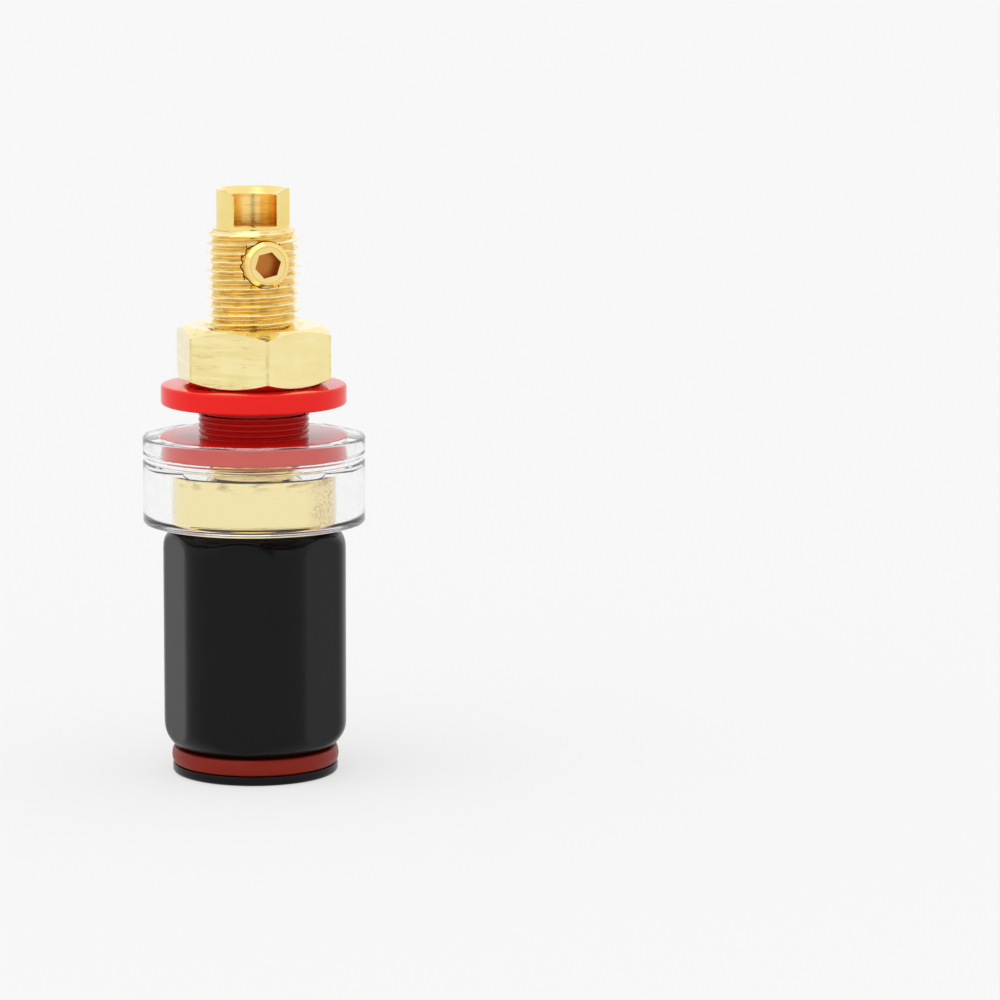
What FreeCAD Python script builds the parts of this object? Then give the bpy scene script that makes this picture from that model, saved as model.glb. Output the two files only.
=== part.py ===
import FreeCAD, Part
import math
import os
import Sketcher

# Speaker binding post with a socket for a 4 mm banana plug.
# It stands on the end cap of its knob, with the axis up and the threaded stud on top.
# Millimetres and degrees. Every piece is turned about the vertical axis.

SIZES = {
    # knob moulding: a rounded hexagon, turned in at both ends
    "knob_flats": 14.55,
    "knob_corner_round": 3.6,
    "knob_length": 21.25,
    "knob_turn": -5.0,
    "cap_set_in": 0.225,
    "cap_thickness": 0.8,
    "cap_edge_round": 0.3,
    "front_shoulder_height": 2.4,
    "front_shoulder_cut_off": 0.5,
    "rear_shoulder_height": 2.1,
    "rear_shoulder_cut_off": 0.3,
    "nose_wall": 3.0,
    "plug_hole_clearance": 0.3,
    "plug_hole_flare": 0.5,
    "plug_hole_flare_depth": 0.6,
    # colour ring in its groove behind the cap
    "ring_height": 1.45,
    "ring_groove_depth": 1.0,
    "ring_edge_step": 0.1,
    "ring_bulge_round": 1.4,
    # threaded brass bush moulded into the knob
    "bush_wall": 1.15,
    "bush_flange_set_in": 0.075,
    "bush_flange_thickness": 0.75,
    "bush_lead_in": 0.3,
    # post: socket tube, clamping collar, threaded stud and solder cup
    "tube_diameter": 7.0,
    "tube_end_gap": 0.55,
    "tube_end_chamfer": 0.4,
    "tube_pitch": 1.0,
    "tube_thread_depth": 0.55,
    "socket_diameter": 4.0,
    "socket_end_wall": 0.4,
    "socket_lead_in": 0.35,
    "wire_hole_diameter": 2.6,
    "wire_hole_below_collar": 2.05,
    "collar_diameter": 13.85,
    "collar_thickness": 3.95,
    "collar_edge_chamfer": 0.25,
    "stud_diameter": 7.9,
    "stud_above_nut": 8.25,
    "stud_end_chamfer": 0.5,
    "stud_pitch": 0.75,
    "stud_thread_depth": 0.48,
    "cup_length": 3.3,
    "cup_bore": 4.0,
    "cup_bore_depth": 9.2,
    "cup_wall": 1.1,
    "cup_mouth_flare": 0.75,
    "cup_mouth_depth": 0.6,
    "cup_cut_height": 3.0,
    "cup_cut_offset": 0.7,
    "post_turn": 20.0,
    # clear shroud that the collar and the front flange clamp
    "shroud_rim_wall": 1.41,
    "shroud_skirt_overhang": 0.5,
    "shroud_web": 1.4,
    "shroud_lip_round": 0.6,
    "shroud_mouth_flare": 0.8,
    "shroud_rim_round": 0.2,
    "shroud_groove_width": 0.7,
    "shroud_groove_depth": 0.25,
    "shroud_groove_below_rim": 1.5,
    # red insulators in front of and behind the panel
    "flange_overhang": 1.01,
    "flange_thickness": 1.55,
    "flange_edge_chamfer": 0.15,
    "neck_wall": 0.6,
    "neck_length": 1.9,
    "neck_ridge_depth": 0.14,
    "neck_ridge_pitch": 0.47,
    "washer_set_in": 0.06,
    "washer_thickness": 1.7,
    "washer_edge_round": 0.25,
    "boss_length": 0.75,
    "boss_set_in": 0.2,
    # panel nut
    "nut_flats": 12.0,
    "nut_thickness": 4.95,
    "nut_face_set_in": 0.25,
    "nut_corner_drop": 0.65,
    "nut_bore_chamfer": 0.4,
    "nut_turn": -17.2,
    # grub screw that clamps the wire in the solder cup
    "grub_diameter": 3.9,
    "grub_length": 2.2,
    "grub_stand_out": 0.35,
    "grub_end_chamfer": 0.3,
    "grub_below_stud_end": 2.8,
    "grub_socket_flats": 2.0,
    "grub_socket_depth": 1.1,
    "grub_socket_turn": 13.0,
    # clearances
    "thread_clearance": 0.05,
    "seat_gap": 0.05,
    "ring_clearance": 0.06,
    "moulding_fit": 0.02,
    "collar_clearance": 0.12,
    "flange_clearance": 0.08,
    "stud_clearance": 0.15,
}

CUT_MARGIN = 1.0
VALLEY_SHARE = 0.48
SAME_PLACE = 1e-4
HEXAGON_CORNER = 1 / math.cos(math.radians(30))

# The numbers that a sketch gives to its own axes and to the points of an edge
X_AXIS, Y_AXIS = range(-1, -3, -1)
START, END, CENTRE = range(1, 4)

doc = FreeCAD.newDocument("binding_post")
sheet = doc.addObject("Spreadsheet::Sheet", "sizes")
for row, (alias, number) in enumerate(SIZES.items(), start=1):
    sheet.set("A%d" % row, alias)
    sheet.set("B%d" % row, str(number))
    sheet.setAlias("B%d" % row, alias)
doc.recompute()


class Size:
    """A length that knows its value and the cells that it comes from."""

    def __init__(self, value, text):
        self.value = value
        self.text = text

    def join(self, sign, other, value):
        text = other.text if isinstance(other, Size) else repr(other)
        return Size(value, "(%s %s %s)" % (self.text, sign, text))

    def __add__(self, other):
        return self.join("+", other, self.value + plain(other))

    def __sub__(self, other):
        return self.join("-", other, self.value - plain(other))

    def __mul__(self, other):
        return self.join("*", other, self.value * plain(other))

    def __truediv__(self, other):
        return self.join("/", other, self.value / plain(other))


def plain(length):
    return length.value if isinstance(length, Size) else length


def size(alias):
    return Size(float(sheet.get(alias)), "sizes." + alias)


def radius(alias):
    return size(alias) / 2


NOTHING = Size(0.0, "0")


def new_body(name):
    body = doc.addObject("PartDesign::Body", name)
    body.Label = name
    return body


def new_sketch(body, name, role="XZ_Plane", offset=None):
    """A sketch on one of the body's own planes, moved along that plane's normal by the offset."""
    plane = next(item for item in body.Origin.OriginFeatures if item.Role == role)
    sketch = body.newObject("Sketcher::SketchObject", name)
    sketch.AttachmentSupport = (plane, [""])
    sketch.MapMode = "FlatFace"
    if offset is not None:
        sketch.setExpression("AttachmentOffset.Base.z", offset.text)
    return sketch


def tie(sketch, constraint, length):
    """Adds a dimension to the sketch and binds it to its cells."""
    number = sketch.addConstraint(constraint)
    sketch.setExpression("Constraints[%d]" % number, length.text)


def tie_corner(sketch, edge, end, corner):
    """Holds one corner of an outline at its distance from the axis and its height."""
    for kind, length, axis in (("DistanceX", corner[0], Y_AXIS), ("DistanceY", corner[1], X_AXIS)):
        if length is NOTHING:
            sketch.addConstraint(Sketcher.Constraint("PointOnObject", edge, end, axis))
        else:
            tie(sketch, Sketcher.Constraint(kind, X_AXIS, START, edge, end, length.value), length)


def arc_between(first, last, bend):
    """The short arc of a given radius between two corners, its centre to the left of the way or the right."""
    start = FreeCAD.Vector(first[0].value, first[1].value, 0)
    stop = FreeCAD.Vector(last[0].value, last[1].value, 0)
    arc_radius, turns_left = bend
    way = stop - start
    left = FreeCAD.Vector(-way.y, way.x, 0).normalize()
    rise = math.sqrt(arc_radius.value ** 2 - (way.Length / 2) ** 2)
    centre = (start + stop) / 2 + left * (rise if turns_left else -rise)
    angles = [math.atan2(point.y - centre.y, point.x - centre.x) for point in (start, stop)]
    if not turns_left:
        angles.reverse()
    circle = Part.Circle(centre, FreeCAD.Vector(0, 0, 1), arc_radius.value)
    return Part.ArcOfCircle(circle, angles[0], angles[1])


def outline(sketch, corners, bends=None):
    """A closed outline through the corners. bends gives the edges that are arcs, by their number."""
    bends = bends or {}
    edges = []
    for number, first in enumerate(corners):
        last = corners[(number + 1) % len(corners)]
        if number in bends:
            edge = sketch.addGeometry(arc_between(first, last, bends[number]), False)
            ends = (START, END) if bends[number][1] else (END, START)
        else:
            points = [FreeCAD.Vector(corner[0].value, corner[1].value, 0) for corner in (first, last)]
            edge = sketch.addGeometry(Part.LineSegment(*points), False)
            ends = (START, END)
        edges.append((edge, ends))
    for number, (edge, ends) in enumerate(edges):
        following, following_ends = edges[(number + 1) % len(edges)]
        sketch.addConstraint(Sketcher.Constraint("Coincident", edge, ends[1], following, following_ends[0]))
        tie_corner(sketch, edge, ends[0], corners[number])
        if number in bends:
            bend_radius = bends[number][0]
            tie(sketch, Sketcher.Constraint("Radius", edge, bend_radius.value), bend_radius)
    return sketch


def circle(sketch, circle_radius, height=NOTHING):
    """A circle whose centre is on the sketch's upright axis."""
    centre = FreeCAD.Vector(0, height.value, 0)
    edge = sketch.addGeometry(Part.Circle(centre, FreeCAD.Vector(0, 0, 1), circle_radius.value), False)
    tie_corner(sketch, edge, CENTRE, (NOTHING, height))
    tie(sketch, Sketcher.Constraint("Radius", edge, circle_radius.value), circle_radius)
    return sketch


def hexagon(sketch, flats):
    """A regular hexagon about the origin, with one side level."""
    reach = flats * HEXAGON_CORNER / 2
    points = []
    for number in range(6):
        angle = math.radians(60 * number)
        points.append(FreeCAD.Vector(math.cos(angle), math.sin(angle), 0) * reach.value)
    sides = [sketch.addGeometry(Part.LineSegment(points[i], points[(i + 1) % 6]), False) for i in range(6)]
    ring = sketch.addGeometry(Part.Circle(FreeCAD.Vector(), FreeCAD.Vector(0, 0, 1), reach.value), True)
    sketch.addConstraint(Sketcher.Constraint("Coincident", ring, CENTRE, X_AXIS, START))
    for number, side in enumerate(sides):
        following = sides[(number + 1) % 6]
        sketch.addConstraint(Sketcher.Constraint("Coincident", side, END, following, START))
        sketch.addConstraint(Sketcher.Constraint("PointOnObject", side, START, ring))
        if number:
            sketch.addConstraint(Sketcher.Constraint("Equal", sides[0], side))
    sketch.addConstraint(Sketcher.Constraint("Horizontal", sides[1]))
    tie(sketch, Sketcher.Constraint("Radius", ring, reach.value), reach)
    return sketch


def turned(body, name, sketch, cut=False):
    """A full turn of the sketch about the axis, as a solid or as a cut."""
    feature = body.newObject("PartDesign::Groove" if cut else "PartDesign::Revolution", name)
    feature.Profile = sketch
    feature.ReferenceAxis = (sketch, ["V_Axis"])
    feature.Angle = 360
    body.Tip = feature
    doc.recompute()
    return feature


def cut_valleys(body, name, crest, depth, pitch, low, high):
    """Cuts V-shaped valleys all round a turned surface, one for each pitch between the two heights."""
    outside = crest + size("thread_clearance")
    half_width = pitch * VALLEY_SHARE
    sketch = new_sketch(body, name + "_outline")
    outline(sketch, [(crest - depth, low + half_width), (outside, low), (outside, low + half_width * 2)])
    first = turned(body, name + "_first", sketch, cut=True)
    rows = body.newObject("PartDesign::LinearPattern", name)
    rows.Originals = [first]
    rows.Direction = (sketch, ["V_Axis"])
    rows.Mode = "Spacing"
    rows.setExpression("Offset", pitch.text)
    rows.setExpression("Occurrences", "floor(%s)" % ((high - low) / pitch).text)
    body.Tip = rows
    doc.recompute()


def pad(body, name, sketch, length):
    feature = body.newObject("PartDesign::Pad", name)
    feature.Profile = sketch
    feature.setExpression("Length", length.text)
    body.Tip = feature
    doc.recompute()
    return feature


def pocket(body, name, sketch, length=None, both_ways=False, forwards=False):
    """A straight cut, as deep as the length or right through."""
    feature = body.newObject("PartDesign::Pocket", name)
    feature.Profile = sketch
    if length is None:
        feature.Type = "ThroughAll"
    else:
        feature.setExpression("Length", length.text)
    feature.Midplane = both_ways
    feature.Reversed = forwards
    body.Tip = feature
    doc.recompute()
    return feature


def dress(body, name, kind, base, wanted, length):
    """A fillet or a chamfer on the wanted edges of a feature."""
    edges = base.Shape.Edges
    names = ["Edge%d" % (number + 1) for number, edge in enumerate(edges) if wanted(edge)]
    feature = body.newObject("PartDesign::" + kind, name)
    feature.Base = (base, names)
    feature.setExpression("Radius" if kind == "Fillet" else "Size", length.text)
    body.Tip = feature
    doc.recompute()
    return feature


def is_upright(edge):
    ends = [vertex.Point for vertex in edge.Vertexes]
    return len(ends) == 2 and (ends[1] - ends[0]).Length > 0 and abs(ends[1].z - ends[0].z) > 0.99 * edge.Length


def is_circle(edge, circle_radius, axis, place):
    """True for a full circle of the radius, at the place along the axis."""
    if not isinstance(edge.Curve, Part.Circle) or not edge.isClosed():
        return False
    along = getattr(edge.Curve.Center, axis)
    return abs(edge.Curve.Radius - circle_radius) < SAME_PLACE and abs(along - place) < SAME_PLACE


# Heights above the surface that the post stands on
knob_rear = size("knob_length")
collar_foot = knob_rear + size("bush_flange_thickness") + size("seat_gap")
collar_top = collar_foot + size("collar_thickness")
web_top = collar_top + size("shroud_web")
neck_top = web_top + size("flange_thickness") + size("neck_length")
boss_foot = neck_top + size("seat_gap")
washer_top = boss_foot + size("boss_length") + size("washer_thickness")
nut_foot = washer_top + size("seat_gap")
stud_end = nut_foot + size("nut_thickness") + size("stud_above_nut")
ring_foot = size("cap_thickness")
groove_top = ring_foot + size("ring_height")

# Distances from the axis
cap_radius = radius("knob_flats") - size("cap_set_in")
groove_radius = cap_radius - size("ring_groove_depth")
corner_round = size("knob_corner_round")
knob_reach = (radius("knob_flats") - corner_round) * HEXAGON_CORNER + corner_round
stud_hole = radius("stud_diameter") + size("stud_clearance")
neck_radius = stud_hole + size("neck_wall")
bush_bore = radius("tube_diameter") + size("thread_clearance")
bush_radius = bush_bore + size("bush_wall")
bush_seat = bush_radius + size("moulding_fit")
socket_radius = radius("socket_diameter")
collar_radius = radius("collar_diameter")
flange_radius = collar_radius + size("flange_overhang")


def chord_drop(arc_radius, height):
    """How far an arc that starts upright has come in towards the axis after a height."""
    value = arc_radius.value - math.sqrt(arc_radius.value ** 2 - height.value ** 2)
    text = "(%s - sqrt(%s ^ 2 - %s ^ 2))" % (arc_radius.text, arc_radius.text, height.text)
    return Size(value, text)


def make_knob_shell():
    body = new_body("knob_shell")
    body.setExpression("Placement.Rotation.Angle", "sizes.knob_turn")
    bar_outline = hexagon(new_sketch(body, "knob_bar_outline", "XY_Plane"), size("knob_flats"))
    bar = pad(body, "knob_bar", bar_outline, knob_rear)
    dress(body, "knob_corners", "Fillet", bar, is_upright, corner_round)

    # The front end is turned to the shoulder, the ring groove and the cap
    outside = knob_reach + CUT_MARGIN
    shoulder_height = size("front_shoulder_height")
    shoulder_round = shoulder_height + size("front_shoulder_cut_off")
    shoulder_foot = knob_reach - chord_drop(shoulder_round, shoulder_height)
    shoulder_top = groove_top + shoulder_height
    cap_edge = size("cap_edge_round")
    front_turning = outline(
        new_sketch(body, "front_turning_outline"),
        [
            (outside, NOTHING),
            (cap_radius - cap_edge, NOTHING),
            (cap_radius, cap_edge),
            (cap_radius, ring_foot),
            (groove_radius, ring_foot),
            (groove_radius, groove_top),
            (shoulder_foot, groove_top),
            (knob_reach, shoulder_top),
            (outside, shoulder_top),
        ],
        {1: (cap_edge, True), 6: (shoulder_round, True)},
    )
    turned(body, "front_turning", front_turning, cut=True)

    # The rear end is turned to a rounded shoulder
    rear_height = size("rear_shoulder_height")
    rear_round = rear_height + size("rear_shoulder_cut_off")
    rear_turning = outline(
        new_sketch(body, "rear_turning_outline"),
        [
            (outside, knob_rear),
            (outside, knob_rear - rear_height),
            (knob_reach, knob_rear - rear_height),
            (knob_reach - chord_drop(rear_round, rear_height), knob_rear),
        ],
        {2: (rear_round, True)},
    )
    turned(body, "rear_turning", rear_turning, cut=True)

    # Plug hole through the nose, then the seat of the brass bush
    nose = size("nose_wall")
    hole_radius = socket_radius + size("plug_hole_clearance")
    inside = outline(
        new_sketch(body, "knob_inside_outline"),
        [
            (NOTHING, NOTHING),
            (hole_radius + size("plug_hole_flare"), NOTHING),
            (hole_radius, size("plug_hole_flare_depth")),
            (hole_radius, nose),
            (bush_seat, nose),
            (bush_seat, knob_rear),
            (NOTHING, knob_rear),
        ],
    )
    turned(body, "knob_inside", inside, cut=True)
    return body


def make_colour_ring():
    """A band that bulges a little, stretched into the groove behind the cap."""
    body = new_body("colour_ring")
    clearance = size("ring_clearance")
    body.setExpression("Placement.Base.z", (ring_foot + clearance).text)
    height = size("ring_height") - clearance * 2
    edge_radius = cap_radius - size("ring_edge_step")
    inner = groove_radius + clearance
    band = outline(
        new_sketch(body, "ring_outline"),
        [
            (inner, NOTHING),
            (edge_radius, NOTHING),
            (edge_radius, height),
            (inner, height),
        ],
        {1: (size("ring_bulge_round"), True)},
    )
    turned(body, "ring_band", band)
    return body


def make_knob_bush():
    """The threaded bush of the knob, with the flange that clamps a bare wire on the collar."""
    body = new_body("knob_bush")
    nose = size("nose_wall")
    body.setExpression("Placement.Base.z", nose.text)
    length = knob_rear - nose
    rim = collar_radius - size("bush_flange_set_in")
    lead_in = size("bush_lead_in")
    flange_top = length + size("bush_flange_thickness")
    section = outline(
        new_sketch(body, "bush_outline"),
        [
            (bush_bore, NOTHING),
            (bush_radius, NOTHING),
            (bush_radius, length),
            (rim, length),
            (rim, flange_top),
            (bush_bore + lead_in, flange_top),
            (bush_bore, flange_top - lead_in),
        ],
    )
    turned(body, "bush_section", section)
    return body


def make_post():
    """One turned brass piece: socket tube, collar, stud and half-open solder cup."""
    body = new_body("post")
    tube = collar_foot - size("nose_wall") - size("tube_end_gap")
    body.setExpression("Placement.Base.z", (collar_foot - tube).text)
    body.setExpression("Placement.Rotation.Angle", "sizes.post_turn")
    tube_radius = radius("tube_diameter")
    tube_chamfer = size("tube_end_chamfer")
    collar_chamfer = size("collar_edge_chamfer")
    collar_end = tube + size("collar_thickness")
    stud_radius = radius("stud_diameter")
    stud_chamfer = size("stud_end_chamfer")
    stud_top = collar_end + stud_end - collar_top
    bore_radius = radius("cup_bore")
    cup_radius = bore_radius + size("cup_wall")
    cup_top = stud_top + size("cup_length")
    blank = outline(
        new_sketch(body, "post_outline"),
        [
            (NOTHING, NOTHING),
            (tube_radius - tube_chamfer, NOTHING),
            (tube_radius, tube_chamfer),
            (tube_radius, tube),
            (collar_radius - collar_chamfer, tube),
            (collar_radius, tube + collar_chamfer),
            (collar_radius, collar_end - collar_chamfer),
            (collar_radius - collar_chamfer, collar_end),
            (stud_radius, collar_end),
            (stud_radius, stud_top - stud_chamfer),
            (stud_radius - stud_chamfer, stud_top),
            (cup_radius, stud_top),
            (cup_radius, cup_top),
            (NOTHING, cup_top),
        ],
    )
    turned(body, "post_blank", blank)

    # The threads are rings, one for each turn
    stud_pitch = size("stud_pitch")
    stud_depth = size("stud_thread_depth")
    thread_end = stud_top - stud_chamfer
    cut_valleys(body, "stud_thread", stud_radius, stud_depth, stud_pitch, collar_end + stud_depth, thread_end)
    tube_pitch = size("tube_pitch")
    tube_depth = size("tube_thread_depth")
    cut_valleys(body, "tube_thread", tube_radius, tube_depth, tube_pitch, tube_chamfer, tube - tube_depth)

    # Plug socket bored from the front end, as far as the wall below the cross hole of the wire
    hole_height = tube - size("wire_hole_below_collar")
    socket_depth = hole_height - radius("wire_hole_diameter") - size("socket_end_wall")
    lead_in = size("socket_lead_in")
    socket = outline(
        new_sketch(body, "socket_outline"),
        [
            (NOTHING, NOTHING),
            (socket_radius + lead_in, NOTHING),
            (socket_radius, lead_in),
            (socket_radius, socket_depth),
            (NOTHING, socket_depth),
        ],
    )
    turned(body, "plug_socket", socket, cut=True)

    # Wire bore and its countersunk mouth
    bore_foot = cup_top - size("cup_bore_depth")
    bore = outline(
        new_sketch(body, "wire_bore_outline"),
        [
            (NOTHING, cup_top),
            (NOTHING, bore_foot),
            (bore_radius, bore_foot),
            (bore_radius, cup_top - size("cup_mouth_depth")),
            (bore_radius + size("cup_mouth_flare"), cup_top),
        ],
    )
    turned(body, "wire_bore", bore, cut=True)

    # Cross hole for a bare wire, under the collar
    wire_hole = circle(new_sketch(body, "wire_hole_outline"), radius("wire_hole_diameter"), hole_height)
    pocket(body, "wire_hole", wire_hole, both_ways=True)

    # Tapped hole of the grub screw, from the bore to the front
    grub_height = stud_top - size("grub_below_stud_end")
    grub_hole_radius = radius("grub_diameter") + size("thread_clearance")
    grub_hole = circle(new_sketch(body, "grub_hole_outline"), grub_hole_radius, grub_height)
    pocket(body, "grub_hole", grub_hole, forwards=True)

    # The front of the solder cup is milled away
    across = cup_radius + CUT_MARGIN
    cut_foot = cup_top - size("cup_cut_height")
    half = new_sketch(body, "cup_cut_outline", offset=size("cup_cut_offset"))
    rectangle(half, across, cut_foot, cup_top + CUT_MARGIN)
    pocket(body, "cup_cut", half, forwards=True)
    return body


def rectangle(sketch, half_width, low, high):
    """A rectangle that is centred on the sketch's upright axis."""
    x = half_width.value
    corners = [(-x, low.value), (x, low.value), (x, high.value), (-x, high.value)]
    points = [FreeCAD.Vector(across, up, 0) for across, up in corners]
    sides = [sketch.addGeometry(Part.LineSegment(points[i], points[(i + 1) % 4]), False) for i in range(4)]
    for number, side in enumerate(sides):
        sketch.addConstraint(Sketcher.Constraint("Coincident", side, END, sides[(number + 1) % 4], START))
    sketch.addConstraint(Sketcher.Constraint("Vertical", sides[1]))
    sketch.addConstraint(Sketcher.Constraint("Horizontal", sides[2]))
    sketch.addConstraint(Sketcher.Constraint("Symmetric", sides[0], START, sides[0], END, Y_AXIS))
    sketch.addConstraint(Sketcher.Constraint("Vertical", sides[3]))
    tie_corner(sketch, sides[1], START, (half_width, low))
    tie(sketch, Sketcher.Constraint("DistanceY", X_AXIS, START, sides[1], END, high.value), high)
    return sketch


def make_clear_shroud():
    """The clear ring round the clamp: a skirt, a web on the collar and a pocket for the front flange."""
    body = new_body("clear_shroud")
    skirt = size("collar_thickness") + size("shroud_skirt_overhang")
    body.setExpression("Placement.Base.z", (collar_top - skirt).text)
    bore = collar_radius + size("collar_clearance")
    pocket_radius = flange_radius + size("flange_clearance")
    outer = pocket_radius + size("shroud_rim_wall")
    lip = size("shroud_lip_round")
    flare = size("shroud_mouth_flare")
    rim_round = size("shroud_rim_round")
    pocket_floor = skirt + size("shroud_web")
    rim = pocket_floor + size("flange_thickness")
    groove_high = rim - size("shroud_groove_below_rim")
    groove_low = groove_high - size("shroud_groove_width")
    groove_depth = size("shroud_groove_depth")
    section = outline(
        new_sketch(body, "shroud_outline"),
        [
            (bore + flare, NOTHING),
            (outer - lip, NOTHING),
            (outer, lip),
            (outer, groove_low),
            (outer - groove_depth, groove_low + groove_depth),
            (outer - groove_depth, groove_high - groove_depth),
            (outer, groove_high),
            (outer, rim - rim_round),
            (outer - rim_round, rim),
            (pocket_radius, rim),
            (pocket_radius, pocket_floor),
            (stud_hole, pocket_floor),
            (stud_hole, skirt),
            (bore, skirt),
            (bore, flare),
        ],
        {1: (lip, True), 7: (rim_round, True), 14: (flare, True)},
    )
    turned(body, "shroud_section", section)
    return body


def make_front_flange():
    """The insulator in front of the panel, with a ridged neck that fills the panel's hole."""
    body = new_body("front_flange")
    body.setExpression("Placement.Base.z", web_top.text)
    thickness = size("flange_thickness")
    chamfer = size("flange_edge_chamfer")
    top = thickness + size("neck_length")
    section = outline(
        new_sketch(body, "flange_outline"),
        [
            (stud_hole, NOTHING),
            (flange_radius - chamfer, NOTHING),
            (flange_radius, chamfer),
            (flange_radius, thickness - chamfer),
            (flange_radius - chamfer, thickness),
            (neck_radius, thickness),
            (neck_radius, top),
            (stud_hole, top),
        ],
    )
    turned(body, "flange_section", section)

    # Shallow rings round the neck
    depth = size("neck_ridge_depth")
    cut_valleys(body, "neck_valleys", neck_radius, depth, size("neck_ridge_pitch"), thickness, top)
    return body


def make_rear_washer():
    """The insulator behind the panel, with a boss that meets the neck."""
    body = new_body("rear_washer")
    body.setExpression("Placement.Base.z", boss_foot.text)
    outer = flange_radius - size("washer_set_in")
    boss_radius = neck_radius - size("boss_set_in")
    edge = size("washer_edge_round")
    low = size("boss_length")
    top = low + size("washer_thickness")
    section = outline(
        new_sketch(body, "washer_outline"),
        [
            (stud_hole, NOTHING),
            (boss_radius, NOTHING),
            (boss_radius, low),
            (outer - edge, low),
            (outer, low + edge),
            (outer, top - edge),
            (outer - edge, top),
            (stud_hole, top),
        ],
        {3: (edge, True), 5: (edge, True)},
    )
    turned(body, "washer_section", section)
    return body


def make_panel_nut():
    """A hexagon nut with its corners turned down at both faces."""
    body = new_body("panel_nut")
    body.setExpression("Placement.Base.z", nut_foot.text)
    body.setExpression("Placement.Rotation.Angle", "sizes.nut_turn")
    flats = size("nut_flats")
    thickness = size("nut_thickness")
    bore_radius = radius("stud_diameter") + size("thread_clearance")
    pad(body, "nut_bar", hexagon(new_sketch(body, "nut_bar_outline", "XY_Plane"), flats), thickness)

    # At each face a cone takes the corners down
    corner = flats * HEXAGON_CORNER / 2
    face_radius = flats / 2 - size("nut_face_set_in")
    drop = size("nut_corner_drop")
    corners = new_sketch(body, "nut_corner_outline")
    outline(corners, [(face_radius, NOTHING), (corner + drop, NOTHING), (corner + drop, drop), (corner, drop)])
    high = thickness - drop
    outline(corners, [(face_radius, thickness), (corner, high), (corner + drop, high), (corner + drop, thickness)])
    turned(body, "nut_corners", corners, cut=True)

    bore_sketch = new_sketch(body, "nut_bore_outline", "XY_Plane", thickness)
    bore = pocket(body, "nut_bore", circle(bore_sketch, bore_radius))

    def is_bore_edge(edge):
        faces = (0.0, thickness.value)
        return any(is_circle(edge, bore_radius.value, "z", face) for face in faces)

    dress(body, "nut_bore_chamfers", "Chamfer", bore, is_bore_edge, size("nut_bore_chamfer"))
    return body


def make_grub_screw():
    """A headless screw with a hexagon socket. It points at the axis and stands a little out of the stud."""
    body = new_body("grub_screw")
    body.setExpression("Placement.Base.z", (stud_end - size("grub_below_stud_end")).text)
    body.setExpression("Placement.Rotation.Angle", "sizes.post_turn")
    length = size("grub_length")
    face = radius("stud_diameter") + size("grub_stand_out")
    tip = face - length
    screw_radius = radius("grub_diameter")
    rod_sketch = circle(new_sketch(body, "grub_outline", offset=tip), screw_radius)
    rod = pad(body, "grub_rod", rod_sketch, length)

    def is_end_edge(edge):
        ends = (-tip.value, -face.value)
        return any(is_circle(edge, screw_radius.value, "y", end) for end in ends)

    dress(body, "grub_ends", "Chamfer", rod, is_end_edge, size("grub_end_chamfer"))
    socket_sketch = hexagon(new_sketch(body, "grub_socket_outline", offset=face), size("grub_socket_flats"))
    socket_sketch.setExpression("AttachmentOffset.Rotation.Angle", "sizes.grub_socket_turn")
    pocket(body, "grub_socket", socket_sketch, size("grub_socket_depth"))
    return body


pieces = [
    make_knob_shell(),
    make_colour_ring(),
    make_knob_bush(),
    make_post(),
    make_clear_shroud(),
    make_front_flange(),
    make_rear_washer(),
    make_panel_nut(),
    make_grub_screw(),
]
doc.recompute()

for item in doc.Objects:
    if "Invalid" in item.State or "Error" in item.State:
        raise RuntimeError("failed object: " + item.Name)
for piece in pieces:
    if piece.Shape.isNull() or not piece.Shape.isValid():
        raise RuntimeError("bad shape: " + piece.Label)

os.makedirs("parts", exist_ok=True)
for piece in pieces:
    piece.Shape.exportStep("parts/%s.step" % piece.Label)
    box = piece.Shape.BoundBox
    print("%-13s volume %8.2f  z %6.2f to %6.2f" % (piece.Label, piece.Shape.Volume, box.ZMin, box.ZMax))
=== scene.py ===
import math

import bmesh
import bpy
from mathutils import Matrix, Vector


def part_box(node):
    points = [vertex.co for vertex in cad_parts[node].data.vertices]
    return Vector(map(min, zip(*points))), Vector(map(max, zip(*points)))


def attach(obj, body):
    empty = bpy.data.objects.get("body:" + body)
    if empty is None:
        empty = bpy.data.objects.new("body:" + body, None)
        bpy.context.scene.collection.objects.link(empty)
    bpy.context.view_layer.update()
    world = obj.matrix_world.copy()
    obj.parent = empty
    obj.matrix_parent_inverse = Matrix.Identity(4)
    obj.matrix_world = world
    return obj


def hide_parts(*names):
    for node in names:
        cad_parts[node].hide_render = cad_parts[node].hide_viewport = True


# A speaker binding post that stands on its knob, with the threaded stud and the solder cup on top.
# Sizes are in millimetres, and MM takes them to metres. Heights are above the floor.

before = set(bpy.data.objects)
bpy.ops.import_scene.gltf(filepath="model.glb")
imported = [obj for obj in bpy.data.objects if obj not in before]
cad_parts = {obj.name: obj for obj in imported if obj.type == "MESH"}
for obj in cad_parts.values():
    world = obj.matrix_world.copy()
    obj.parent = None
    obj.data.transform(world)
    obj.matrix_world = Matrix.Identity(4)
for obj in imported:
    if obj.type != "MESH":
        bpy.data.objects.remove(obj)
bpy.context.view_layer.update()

MM = 0.001
WELD = 0.001 * MM
TURN_STEPS = 192
ROUND_STEPS = 5
HALF_HEXAGON = math.radians(30)


def foot(node):
    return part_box(node)[0].z / MM


def top(node):
    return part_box(node)[1].z / MM


def reach(node):
    """How far a turned piece reaches from the axis."""
    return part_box(node)[1].x / MM


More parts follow.
